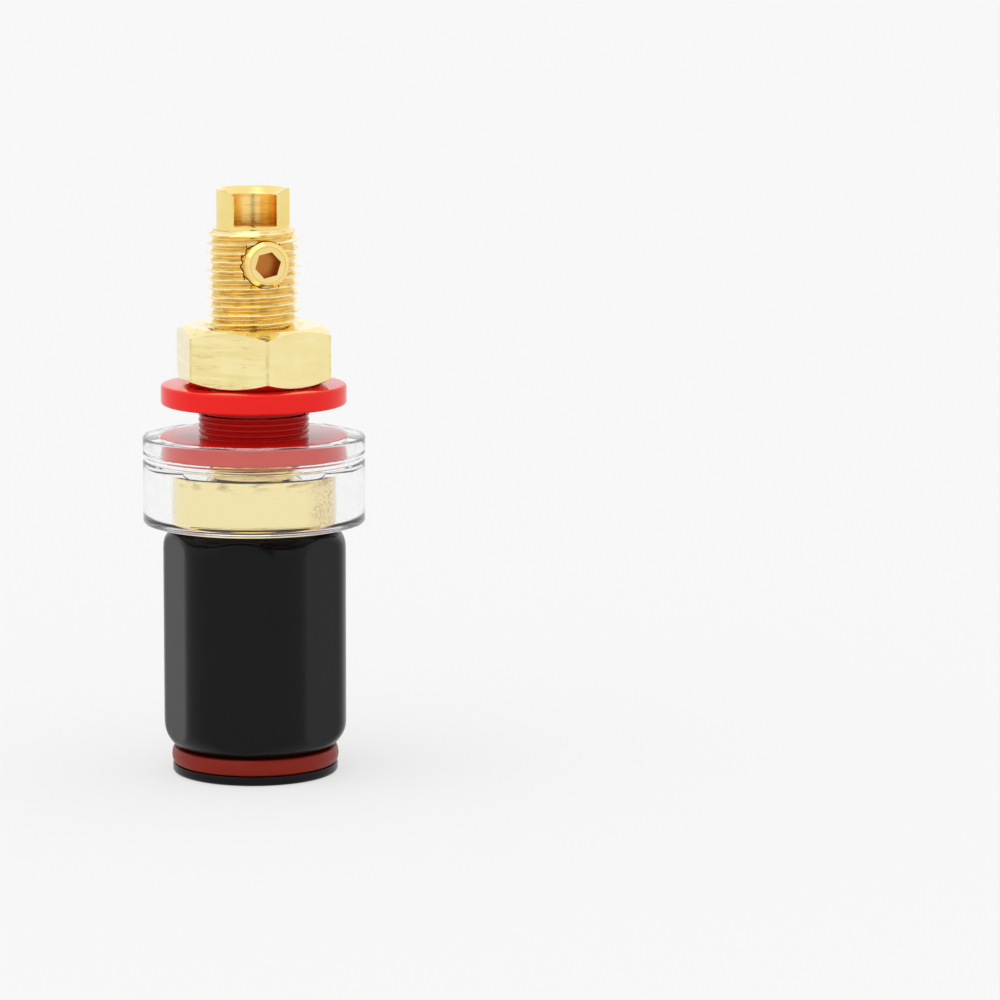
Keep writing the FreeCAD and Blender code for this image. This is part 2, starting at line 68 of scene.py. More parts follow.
# Knob moulding
KNOB_TOP = top("knob_shell")
KNOB_FLATS = 14.55
CORNER_ROUND = 3.6
KNOB_TURN = math.radians(-5)
CORNER_CENTRE = (KNOB_FLATS / 2 - CORNER_ROUND) / math.cos(HALF_HEXAGON)
KNOB_REACH = CORNER_CENTRE + CORNER_ROUND
CAP_RADIUS = 7.05
CAP_THICKNESS = 0.8
GROOVE_RADIUS = 6.05
GROOVE_TOP = 2.25
RING_EDGE = 6.95
RING_BULGE = 1.4
FRONT_SHOULDER = (2.4, 2.9)
REAR_SHOULDER = (2.1, 2.4)
SHOULDER_BLEND = 0.22
NOSE_WALL = foot("knob_bush")
PLUG_HOLE = 2.3
BUSH_SEAT = 4.72

# Post. A bore is drawn in to its end radius and closed there.
COLLAR_FOOT = top("knob_bush") + 0.05
COLLAR_TOP = COLLAR_FOOT + 3.95
COLLAR_RADIUS = 6.925
COLLAR_EDGE = 0.22
TUBE_RADIUS = 3.5
TUBE_ROOT = 2.95
TUBE_PITCH = 1.0
TUBE_CHAMFER = 0.4
TUBE_RUN_OUT = 0.6
TUBE_FOOT = foot("post")
SOCKET_RADIUS = 2.0
SOCKET_MOUTH = 0.35
SOCKET_END = 18.3
WIRE_HOLE_RADIUS = 1.3
WIRE_HOLE_HEIGHT = COLLAR_FOOT - 2.05
STUD_RADIUS = 3.95
STUD_ROOT = 3.4
STUD_PITCH = 0.75
STUD_CHAMFER = 0.5
STUD_RUN_OUT = 0.6
STUD_END = top("post") - 3.3
CUP_TOP = top("post")
CUP_RADIUS = 3.1
CUP_BORE = 2.0
CUP_BORE_FOOT = CUP_TOP - 9.2
CUP_MOUTH = 0.75
CUP_MOUTH_DEPTH = 0.6
CUP_CUT_FOOT = CUP_TOP - 3.0
CUP_CUT_OFFSET = 0.7
BORE_END = 0.02
POST_TURN = math.radians(20)

# Grub screw, with a hexagon socket for a key
GRUB_HEIGHT = (foot("grub_screw") + top("grub_screw")) / 2
GRUB_RADIUS = (top("grub_screw") - foot("grub_screw")) / 2
GRUB_FACE = STUD_RADIUS + 0.35
GRUB_LENGTH = 2.2
GRUB_HOLE_RADIUS = GRUB_RADIUS + 0.05
GRUB_CHAMFER = 0.3
KEY_FLATS = 2.0
KEY_DEPTH = 1.1
KEY_TURN = math.radians(13)

# Shroud and insulators
STUD_HOLE = 4.1
NECK = 4.7

# Panel nut
NUT_FLATS = 12.0
NUT_TURN = math.radians(-17.2)
NUT_BORE = 4.0
NUT_DROP = 0.65
NUT_FACE = 5.75
NUT_CHAMFER = 0.4


def arc(start, stop, radius, steps=12):
    """The points of an arc that bulges away from the axis, after its start and before its stop."""
    start, stop = Vector(start), Vector(stop)
    way = stop - start
    right = Vector((way.y, -way.x)).normalized()
    centre = (start + stop) / 2 - right * math.sqrt(radius ** 2 - (way.length / 2) ** 2)
    first = start - centre
    turn = first.angle_signed(stop - centre)
    points = []
    for step in range(1, steps):
        spoke = first.copy()
        spoke.rotate(Matrix.Rotation(-turn * step / steps, 2))
        points.append((*(centre + spoke), 0))
    return points


def rounded(corners):
    """The points of a closed outline. A corner is (radius, height, rounding)."""
    points = []
    for number, (radius, height, rounding) in enumerate(corners):
        here = Vector((radius, height))
        if not rounding:
            points.append(here)
            continue
        back = (Vector(corners[number - 1][:2]) - here).normalized()
        on = (Vector(corners[(number + 1) % len(corners)][:2]) - here).normalized()
        half = back.angle(on) / 2
        centre = here + (back + on).normalized() * (rounding / math.sin(half))
        spokes = [here + way * (rounding / math.tan(half)) - centre for way in (back, on)]
        for step in range(ROUND_STEPS + 1):
            spoke = spokes[0].lerp(spokes[1], step / ROUND_STEPS).normalized()
            points.append(centre + spoke * rounding)
    return points


def turned(corners, steps=TURN_STEPS):
    """A solid of revolution about the upright axis."""
    bm = bmesh.new()
    ring = [bm.verts.new((radius * MM, 0, height * MM)) for radius, height in rounded(corners)]
    for number, vert in enumerate(ring):
        bm.edges.new((ring[number - 1], vert))
    spin(bm, steps)
    return bm


def spin(bm, steps=TURN_STEPS):
    geometry = bm.verts[:] + bm.edges[:]
    bmesh.ops.spin(bm, geom=geometry, axis=(0, 0, 1), angle=math.tau, steps=steps, use_merge=True)
    close_up(bm)


def close_up(bm):
    bmesh.ops.remove_doubles(bm, verts=bm.verts, dist=WELD)
    bmesh.ops.recalc_face_normals(bm, faces=bm.faces)


def as_object(name, bm):
    mesh = bpy.data.meshes.new(name)
    bm.to_mesh(mesh)
    bm.free()
    piece = bpy.data.objects.new(name, mesh)
    bpy.context.scene.collection.objects.link(piece)
    return piece


def combine(piece, other, operation):
    """Cuts the other object out of the piece, or keeps what both share, and throws the other away."""
    boolean = piece.modifiers.new(operation.lower(), "BOOLEAN")
    boolean.operation = operation
    boolean.solver = "EXACT"
    boolean.object = other
    bpy.context.view_layer.update()
    shaped = piece.evaluated_get(bpy.context.evaluated_depsgraph_get())
    mesh = bpy.data.meshes.new_from_object(shaped)
    piece.modifiers.clear()
    piece.data = mesh
    bpy.data.objects.remove(other)


def rod(radius, start, stop, sides=64):
    """A straight rod or bar along Y, from start to stop."""
    bm = bmesh.new()
    bmesh.ops.create_circle(bm, cap_ends=True, segments=sides, radius=radius * MM)
    bmesh.ops.rotate(bm, verts=bm.verts, matrix=Matrix.Rotation(math.radians(90), 3, "X"))
    bmesh.ops.translate(bm, verts=bm.verts, vec=(0, start * MM, 0))
    pulled = bmesh.ops.extrude_face_region(bm, geom=bm.faces[:])["geom"]
    moved = [item for item in pulled if isinstance(item, bmesh.types.BMVert)]
    bmesh.ops.translate(bm, verts=moved, vec=(0, (stop - start) * MM, 0))
    close_up(bm)
    return bm


def turn_about_axis(bm, angle):
    bmesh.ops.rotate(bm, verts=bm.verts, matrix=Matrix.Rotation(angle, 3, "Z"))


def dress(piece, body, node, material, sharp=28):
    """Gives the finished piece its finish, and its place in the frame."""
    mesh = piece.data
    mesh.materials.clear()
    mesh.materials.append(material)
    mesh.shade_smooth()
    mesh.set_sharp_from_angle(angle=math.radians(sharp))
    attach(piece, body)
    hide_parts(node)
    return piece


# Finishes


class Finish:
    """A material with its nodes, built round one Principled shader."""

    def __init__(self, name, **sockets):
        self.material = bpy.data.materials.new(name)
        self.material.use_nodes = True
        self.tree = self.material.node_tree
        self.shader = self.tree.nodes["Principled BSDF"]
        self.place = self.add("ShaderNodeTexCoord").outputs["Object"]
        self.split = self.add("ShaderNodeSeparateXYZ", {0: self.place}).outputs
        self.out = self.distance(self.split[0], self.split[1])
        for socket, value in sockets.items():
            self.shader.inputs[socket.replace("_", " ")].default_value = value

    def add(self, kind, inputs=None, **settings):
        node = self.tree.nodes.new(kind)
        for key, value in settings.items():
            setattr(node, key, value)
        for socket, value in (inputs or {}).items():
            if isinstance(value, bpy.types.NodeSocket):
                self.tree.links.new(value, node.inputs[socket])
            else:
                node.inputs[socket].default_value = value
        return node

    def maths(self, operation, *values):
        return self.add("ShaderNodeMath", dict(enumerate(values)), operation=operation).outputs[0]

    def distance(self, across, along):
        squares = self.maths("MULTIPLY", across, across), self.maths("MULTIPLY", along, along)
        return self.maths("SQRT", self.maths("ADD", *squares))

    def noise(self, scale, detail=3.0, vector=None):
        """Noise whose scale is in grains per millimetre."""
        inputs = {"Vector": vector or self.place, "Scale": scale / MM, "Detail": detail}
        return self.add("ShaderNodeTexNoise", inputs).outputs["Fac"]

    def between(self, share, low, high, share_low=0.3, share_high=0.7):
        """A number that goes from low to high as the share does."""
        inputs = {"Value": share, "To Min": low, "To Max": high}
        inputs.update({"From Min": share_low, "From Max": share_high})
        return self.add("ShaderNodeMapRange", inputs).outputs[0]

    def stretched(self, level, upright, turn=(0, 0, 0)):
        """Coordinates whose grain is drawn out where the number is small."""
        inputs = {"Vector": self.place, "Rotation": turn, "Scale": (level, level, upright)}
        return self.add("ShaderNodeMapping", inputs).outputs[0]

    def blend(self, share, first, second):
        """A colour between two. Each may be worked out by other nodes."""
        node = self.add("ShaderNodeMix", data_type="RGBA")
        self.tree.links.new(share, node.inputs[0])
        for socket, colour in ((node.inputs[6], first), (node.inputs[7], second)):
            if isinstance(colour, bpy.types.NodeSocket):
                self.tree.links.new(colour, socket)
            else:
                socket.default_value = (*colour, 1)
        return node.outputs[2]

    def bump(self, height, depth, below=None):
        """A bump of a depth in millimetres, over the bump below it."""
        inputs = {"Height": height, "Distance": depth * MM, "Strength": 1.0}
        if below is not None:
            inputs["Normal"] = below
        return self.add("ShaderNodeBump", inputs).outputs[0]

    def use(self, **links):
        for socket, value in links.items():
            self.tree.links.new(value, self.shader.inputs[socket.replace("_", " ")])
        return self.material

    def turning(self, across, along, round_axis):
        """Coordinates for tool marks: fine along the axis and the radius, slow round the axis."""
        x, y, z = self.split
        angle = self.maths("ARCTAN2", y, x)
        inputs = {
            0: self.maths("MULTIPLY", self.out, across),
            1: self.maths("MULTIPLY", angle, round_axis * MM),
            2: self.maths("MULTIPLY", z, along),
        }
        return self.add("ShaderNodeCombineXYZ", inputs).outputs[0]


def black_plastic():
    finish = Finish("satin_black_plastic", Specular_IOR_Level=0.16)
    mottle = finish.noise(0.35, 4.0)
    grain = finish.noise(14.0, 2.0)
    smears = finish.noise(0.9, 5.0)
    scratch = finish.noise(9.0, 1.0, finish.stretched(1.0, 0.06, (0.4, 0.9, 0.3)))
    scratches = finish.between(scratch, 0.0, 1.0, 0.72, 0.78)
    colour = finish.blend(mottle, (0.0022, 0.0022, 0.0023), (0.0036, 0.0034, 0.0034))
    scraped = finish.maths("MULTIPLY", scratches, 0.14)
    roughness = finish.maths("ADD", finish.between(smears, 0.19, 0.25), scraped)
    skin = finish.bump(grain, 0.0012)
    marked = finish.bump(scratches, -0.0015, skin)
    return finish.use(Base_Color=colour, Roughness=roughness, Normal=marked)


def red_silicone():
    finish = Finish("brick_red_silicone", Specular_IOR_Level=0.2)
    mottle = finish.noise(1.1, 5.0)
    grain = finish.noise(16.0, 3.0)
    colour = finish.blend(mottle, (0.20, 0.009, 0.002), (0.27, 0.013, 0.003))
    roughness = finish.between(mottle, 0.32, 0.46)
    return finish.use(Base_Color=colour, Roughness=roughness, Normal=finish.bump(grain, 0.004))


def gold_plating(name, dark, light, line_depth, wave_depth):
    """Bright gold over turned brass, with tool marks of two depths: the finish, its colour and normal."""
    finish = Finish(name, Metallic=1.0)
    marks = finish.turning(1.0, 1.0, 0.35)
    fine = finish.noise(16.0, 2.0, marks)
    coarse = finish.noise(4.0, 2.0, marks)
    tarnish = finish.between(finish.noise(0.5, 5.0), 0.0, 1.0)
    colour = finish.blend(tarnish, dark, light)
    lines = finish.bump(fine, line_depth)
    waves = finish.bump(coarse, wave_depth, lines)
    finish.use(Roughness=finish.between(finish.noise(1.6, 4.0), 0.06, 0.13))
    return finish, colour, waves


def post_gold():
    dark, light = (0.90, 0.70, 0.24), (0.95, 0.78, 0.33)
    finish, colour, normal = gold_plating("gold_on_the_post", dark, light, 0.0035, 0.012)
    x, y, z = finish.split
    on_collar = finish.between(finish.out, 0.0, 1.0, (STUD_RADIUS + 0.2) * MM, (STUD_RADIUS + 0.6) * MM)
    colour = finish.blend(on_collar, colour, (0.97, 0.84, 0.43))

    # Painted highlight and shade on the thread: its crests are painted a creamy highlight and its valleys a
    # deeper amber shade, with brown streaks along the turns
    below_end = finish.maths("LESS_THAN", z, STUD_END * MM)
    on_stud = finish.maths("MULTIPLY", finish.maths("SUBTRACT", 1.0, on_collar), below_end)
    colour = finish.blend(on_stud, colour, (0.96, 0.82, 0.44))
    # Painted highlight on the crests
    crest = finish.between(finish.out, 0.0, 0.9, (STUD_RADIUS - 0.24) * MM, (STUD_RADIUS - 0.02) * MM)
    colour = finish.blend(finish.maths("MULTIPLY", crest, on_stud), colour, (0.99, 0.93, 0.70))
    # Painted shade in the valleys
    valley = finish.between(finish.out, 0.5, 0.0, (STUD_ROOT + 0.05) * MM, (STUD_RADIUS - 0.15) * MM)
    colour = finish.blend(finish.maths("MULTIPLY", valley, on_stud), colour, (0.89, 0.60, 0.20))
    streak = finish.noise(5.5, 4.0, finish.turning(1.0, 1.0, 0.5))
    streaks = finish.maths("MULTIPLY", finish.between(streak, 0.0, 0.6, 0.52, 0.66), on_stud)
    colour = finish.blend(streaks, colour, (0.52, 0.36, 0.16))

    # Painted shade inside the bores: the gold there is painted amber, more orange lower down, with darker
    # amber rings
    inside = finish.between(finish.out, 1.0, 0.0, (CUP_BORE + 0.02) * MM, (CUP_BORE + 0.1) * MM)
    rings = finish.between(finish.noise(3.0, 3.0, finish.stretched(0.1, 1.0)), 0.0, 0.6, 0.5, 0.64)
    # Painted shade, more orange low in the bore
    lower_bore_shade = finish.between(z, 1.0, 0.0, (CUP_CUT_FOOT + 0.3) * MM, (CUP_CUT_FOOT + 1.6) * MM)
    bore = finish.blend(lower_bore_shade, (0.98, 0.70, 0.26), (1.0, 0.66, 0.19))
    colour = finish.blend(inside, colour, bore)
    colour = finish.blend(finish.maths("MULTIPLY", rings, inside), colour, (0.84, 0.46, 0.12))
    roughness = finish.between(inside, 0.09, 0.26, 0.0, 1.0)

    # Brown smears under the collar's upper edge, and specks down one side of it
    near_edge = finish.between(z, 0.0, 1.0, (COLLAR_TOP - 1.1) * MM, (COLLAR_TOP - 0.3) * MM)
    smears = finish.between(finish.noise(2.4, 4.0, finish.stretched(0.35, 1.0)), 0.0, 0.8, 0.5, 0.66)
    smears = finish.maths("MULTIPLY", smears, near_edge)
    one_side = finish.between(x, 0.0, 1.0, 4.2 * MM, 5.6 * MM)
    in_front = finish.between(y, 1.0, 0.0, -3.2 * MM, -1.5 * MM)
    one_side = finish.maths("MULTIPLY", one_side, in_front)
    smudge = finish.between(finish.noise(0.8, 3.0), 0.5, 1.0, 0.42, 0.55)
    specks = finish.between(finish.noise(7.0, 4.0), 0.15, 1.0, 0.44, 0.6)
    specks = finish.maths("MULTIPLY", finish.maths("MULTIPLY", specks, smudge), one_side)
    worn = finish.maths("MULTIPLY", finish.maths("MAXIMUM", smears, specks), on_collar)
    colour = finish.blend(worn, colour, (0.50, 0.29, 0.13))
    return finish.use(Base_Color=colour, Roughness=roughness, Normal=normal)


def nut_gold():
    dark, light = (0.94, 0.79, 0.37), (0.98, 0.85, 0.44)
    finish, colour, normal = gold_plating("gold_on_the_nut", dark, light, 0.003, 0.004)

    # Wavy level lines of the mill, most of them on one side, a few nicks, and worn corners
    x = finish.split[0]
    wave = finish.noise(1.3, 4.0, finish.stretched(0.09, 1.0))
    off_line = finish.maths("ABSOLUTE", finish.maths("SUBTRACT", wave, 0.5))
    line = finish.between(off_line, 0.8, 0.0, 0.005, 0.022)
    broken = finish.between(finish.noise(0.7, 3.0), 0.0, 1.0, 0.42, 0.56)
    one_side = finish.between(x, 1.0, 0.25, -1.0 * MM, 2.0 * MM)
    strokes = finish.maths("MULTIPLY", finish.maths("MULTIPLY", line, broken), one_side)
    bands = finish.maths("MULTIPLY", finish.between(wave, 0.0, 0.6, 0.44, 0.58), one_side)
    colour = finish.blend(bands, colour, (0.85, 0.72, 0.31))
    nick = finish.noise(3.6, 3.0, finish.stretched(0.7, 1.0))
    nicks = finish.between(nick, 0.0, 0.9, 0.69, 0.75)
    corner = NUT_FLATS / 2 / math.cos(HALF_HEXAGON)
    worn = finish.between(finish.out, 0.0, 1.0, (corner - 0.12) * MM, (corner - 0.04) * MM)
    patchy = finish.between(finish.noise(1.8, 4.0), 0.2, 0.9, 0.4, 0.6)
    worn = finish.maths("MULTIPLY", worn, patchy)
    marks = finish.maths("MAXIMUM", strokes, nicks)
    colour = finish.blend(finish.maths("MAXIMUM", marks, worn), colour, (0.78, 0.62, 0.27))
    milled = finish.bump(wave, 0.04, normal)
    nicked = finish.bump(marks, -0.005, milled)
    return finish.use(Base_Color=colour, Normal=nicked)


def grub_gold():
    dark, light = (0.93, 0.71, 0.26), (0.98, 0.78, 0.33)
    finish, colour, normal = gold_plating("gold_on_the_grub_screw", dark, light, 0.002, 0.004)
    x, y, z = finish.split
    sine, cosine = math.sin(POST_TURN), math.cos(POST_TURN)
    along = finish.maths("SUBTRACT", finish.maths("MULTIPLY", x, sine), finish.maths("MULTIPLY", y, cosine))
    across = finish.maths("ADD", finish.maths("MULTIPLY", x, cosine), finish.maths("MULTIPLY", y, sine))
    up = finish.maths("SUBTRACT", z, GRUB_HEIGHT * MM)
    off = finish.distance(across, up)

    # Painted reflection: the chamfered rim is painted amber, with a fine amber ring inside it
    rim = finish.between(off, 0.0, 0.6, (GRUB_RADIUS - 0.28) * MM, (GRUB_RADIUS - 0.08) * MM)
    ring = finish.maths("ABSOLUTE", finish.maths("SUBTRACT", off, (GRUB_RADIUS - 0.42) * MM))
    ring = finish.between(ring, 0.7, 0.0, 0.03 * MM, 0.09 * MM)
    colour = finish.blend(finish.maths("MAXIMUM", rim, ring), colour, (0.85, 0.53, 0.16))

    # Painted shade inside the socket: it is painted copper-brown, and made rougher
    socket_shade = finish.between(along, 1.0, 0.0, (GRUB_FACE - 0.14) * MM, (GRUB_FACE - 0.02) * MM)
    key_corner = KEY_FLATS / 2 / math.cos(HALF_HEXAGON)
    near_key = finish.maths("LESS_THAN", off, (key_corner + 0.1) * MM)
    inside = finish.maths("MULTIPLY", socket_shade, near_key)
    colour = finish.blend(inside, colour, (0.52, 0.19, 0.04))
    roughness = finish.between(inside, 0.1, 0.34, 0.0, 1.0)
    return finish.use(Base_Color=colour, Roughness=roughness, Normal=normal)


def bush_gold():
    dark, light = (0.94, 0.79, 0.37), (0.98, 0.85, 0.44)
    finish, colour, normal = gold_plating("gold_on_the_bush", dark, light, 0.0035, 0.006)
    return finish.use(Base_Color=colour, Normal=normal)


def clear_plastic():
    finish = Finish("clear_polished_plastic", Base_Color=(1, 1, 1, 1), IOR=1.46, Transmission_Weight=0.985)
    haze = finish.between(finish.noise(0.8, 5.0), 0.0, 0.03)
    flow = finish.noise(0.3, 1.0)
    return finish.use(Roughness=haze, Normal=finish.bump(flow, 0.004))


def red_plastic(name, shaded_neck_colour, shade_reach, lit_rim_colour=None):
    """Moulded red plastic, darkened by painted shade from the neck out to a distance, and lit at the rim by
    painted light if asked.
    """
    finish = Finish(name, Specular_IOR_Level=0.2)
    mottle = finish.noise(0.6, 4.0)
    grain = finish.noise(7.0, 2.0)
    colour = finish.blend(mottle, (0.86, 0.009, 0.006), (0.91, 0.013, 0.009))
    # Painted shade, darkest at the neck
    neck_shade = finish.between(finish.out, 1.0, 0.0, NECK * MM, shade_reach * MM)
    colour = finish.blend(neck_shade, colour, shaded_neck_colour)
    if lit_rim_colour:
        # Painted light on the rim
        rim = reach("front_flange")
        edge = finish.between(finish.out, 0.0, 1.0, (rim - 0.1) * MM, (rim - 0.04) * MM)
        colour = finish.blend(edge, colour, lit_rim_colour)
    roughness = finish.between(finish.noise(1.4, 5.0), 0.08, 0.14)
    return finish.use(Base_Color=colour, Roughness=roughness, Normal=finish.bump(grain, 0.0016))


BLACK = black_plastic()
SILICONE = red_silicone()
GOLD = bush_gold()
POST_GOLD = post_gold()
NUT_GOLD = nut_gold()
GRUB_GOLD = grub_gold()
CLEAR = clear_plastic()
# One red plastic in two copies, which differ only in painted shade and a painted rim light
RED = red_plastic("red_plastic_behind_the_panel", (0.46, 0.008, 0.006), 5.5)
RED_WITH_PAINTED_SHADE_AND_RIM_LIGHT = red_plastic("red_plastic_before_the_panel", (0.50, 0.008, 0.006), 10.5, (0.97, 0.07, 0.045))


# Knob


def hexagon_reach(angle):
    """Distance from the axis to the rounded hexagon, where 0 is the middle of a flat."""
    side = math.remainder(angle, 2 * HALF_HEXAGON)
    flat_half = CORNER_CENTRE * math.sin(HALF_HEXAGON)
    if abs(math.tan(side)) * KNOB_FLATS / 2 <= flat_half:
        return KNOB_FLATS / 2 / math.cos(side)
    off = HALF_HEXAGON - abs(side)
    beside = CORNER_CENTRE * math.sin(off)
    return CORNER_CENTRE * math.cos(off) + math.sqrt(CORNER_ROUND ** 2 - beside ** 2)


def soft_lower(first, second, width):
    """The lower of two numbers, with the crossing rounded off."""
    share = min(max(0.5 + (second - first) / (2 * width), 0), 1)
    return second + (first - second) * share - width * share * (1 - share)


def make_knob():
    front_height, front_round = FRONT_SHOULDER
    rear_height, rear_round = REAR_SHOULDER
    wall = KNOB_REACH + 0.02
    shoulder_top = GROOVE_TOP + front_height
    shoulder_foot = wall - front_round + math.sqrt(front_round ** 2 - front_height ** 2)
    rear_foot = KNOB_TOP - rear_height
    rear_end = wall - rear_round + math.sqrt(rear_round ** 2 - rear_height ** 2)
    rows = 56
    wall_rows = [(wall, shoulder_top + (rear_foot - shoulder_top) * row / rows, 0) for row in range(1, rows)]
    corners = [
        (PLUG_HOLE + 0.5, 0, 0.12),
        (CAP_RADIUS, 0, 0.3),
        (CAP_RADIUS, CAP_THICKNESS, 0.12),
        (GROOVE_RADIUS, CAP_THICKNESS, 0),
        (GROOVE_RADIUS, GROOVE_TOP, 0),
        (shoulder_foot - 0.25, GROOVE_TOP, 0),
        (shoulder_foot - 0.06, GROOVE_TOP + 0.02, 0),
        (shoulder_foot, GROOVE_TOP + 0.1, 0),
        *arc((shoulder_foot, GROOVE_TOP), (wall, shoulder_top), front_round, 18)[1:],
        (wall, shoulder_top, 0),
        *wall_rows,
        (wall, rear_foot, 0),
        *arc((wall, rear_foot), (rear_end, KNOB_TOP), rear_round, 18)[:-1],
        (rear_end, KNOB_TOP - 0.06, 0),
        (rear_end - 0.06, KNOB_TOP, 0),
        (BUSH_SEAT, KNOB_TOP, 0),
        (BUSH_SEAT, NOSE_WALL, 0),
        (PLUG_HOLE, NOSE_WALL, 0.1),
        (PLUG_HOLE, 0.6, 0.1),
    ]
    bm = turned(corners, 288)
    for vert in bm.verts:
        out = vert.co.xy.length / MM
        if out > GROOVE_RADIUS + 0.1 and vert.co.z / MM > GROOVE_TOP - 0.01:
            angle = math.atan2(vert.co.y, vert.co.x) + HALF_HEXAGON - KNOB_TURN
            vert.co.xy *= soft_lower(out, hexagon_reach(angle), SHOULDER_BLEND) / out
    close_up(bm)
    piece = as_object("knob_moulding", bm)
    return dress(piece, "knob", "knob_shell", BLACK, 35)


def make_ring():
    low, high = foot("colour_ring"), top("colour_ring")
    inner = GROOVE_RADIUS + 0.06
    corners = [
        (inner, low, 0),
        (RING_EDGE - 0.05, low, 0),
        (RING_EDGE, low + 0.04, 0),
        *arc((RING_EDGE, low), (RING_EDGE, high), RING_BULGE),
        (RING_EDGE, high - 0.04, 0),
        (RING_EDGE - 0.05, high, 0),
        (inner, high, 0),
    ]
    piece = as_object("silicone_ring", turned(corners))
    return dress(piece, "knob", "colour_ring", SILICONE)


def make_bush():
    low, high = foot("knob_bush"), top("knob_bush")
    rim, outer, bore = reach("knob_bush"), BUSH_SEAT - 0.02, TUBE_RADIUS + 0.05
    corners = [
        (bore, low, 0.1),
        (outer, low, 0.1),
        (outer, KNOB_TOP, 0),
        (rim, KNOB_TOP, 0.08),
        (rim, high, 0.1),
        (bore + 0.3, high, 0.05),
        (bore, high - 0.3, 0),
    ]
    piece = as_object("brass_bush", turned(corners))
    return dress(piece, "knob", "knob_bush", GOLD)


# Post


def thread(crest, root, pitch, low, high, steps=72):
    """The skin of a right-handed screw thread between two heights."""
    flank = 0.42 * pitch
    land = pitch / 2 - flank
    outline = [(root, 0), (crest, flank), (crest, flank + land), (root, 2 * flank + land), (root, pitch)]
    bm = bmesh.new()
    start = low - pitch
    verts = [bm.verts.new((radius * MM, 0, (start + height) * MM)) for radius, height in outline]
    for first, second in zip(verts, verts[1:]):
        bm.edges.new((first, second))
    turns = math.ceil((high - low) / pitch) + 2
    rise = (0, 0, pitch * MM / steps)
    geometry = bm.verts[:] + bm.edges[:]
    bmesh.ops.spin(bm, geom=geometry, axis=(0, 0, 1), dvec=rise, angle=math.tau * turns, steps=steps * turns)
    bmesh.ops.remove_doubles(bm, verts=bm.verts, dist=WELD)
    for height, way in ((low, -1), (high, 1)):
        plane = {"plane_co": (0, 0, height * MM), "plane_no": (0, 0, way)}
        geometry = bm.verts[:] + bm.edges[:] + bm.faces[:]
        bmesh.ops.bisect_plane(bm, geom=geometry, clear_outer=True, dist=WELD, **plane)
    return bm


def end_loop(bm, height):
    """The open edges of a skin at one height."""
    def is_level(edge):
        return all(abs(vert.co.z - height * MM) < WELD for vert in edge.verts)

    return [edge for edge in bm.edges if edge.is_boundary and is_level(edge)]


def draw_on(bm, loop, corners):
    """Draws a skin on from a loop of open edges, through rings at each (radius, height)."""
    for radius, height in corners:
        drawn = bmesh.ops.extrude_edge_only(bm, edges=loop)["geom"]
        for vert in (item for item in drawn if isinstance(item, bmesh.types.BMVert)):
            vert.co.xy = vert.co.xy.normalized() * radius * MM
            vert.co.z = height * MM
        loop = [item for item in drawn if isinstance(item, bmesh.types.BMEdge) and item.is_boundary]
    return loop


def turn_down(bm, full, end, chamfer, way):
    """Turns the crests at the end of a thread down to a chamfer."""
    for vert in bm.verts:
        inside = (end - vert.co.z / MM) * way
        limit = full - chamfer + max(inside, 0)
        if vert.co.xy.length / MM > limit:
            vert.co.xy *= limit * MM / vert.co.xy.length


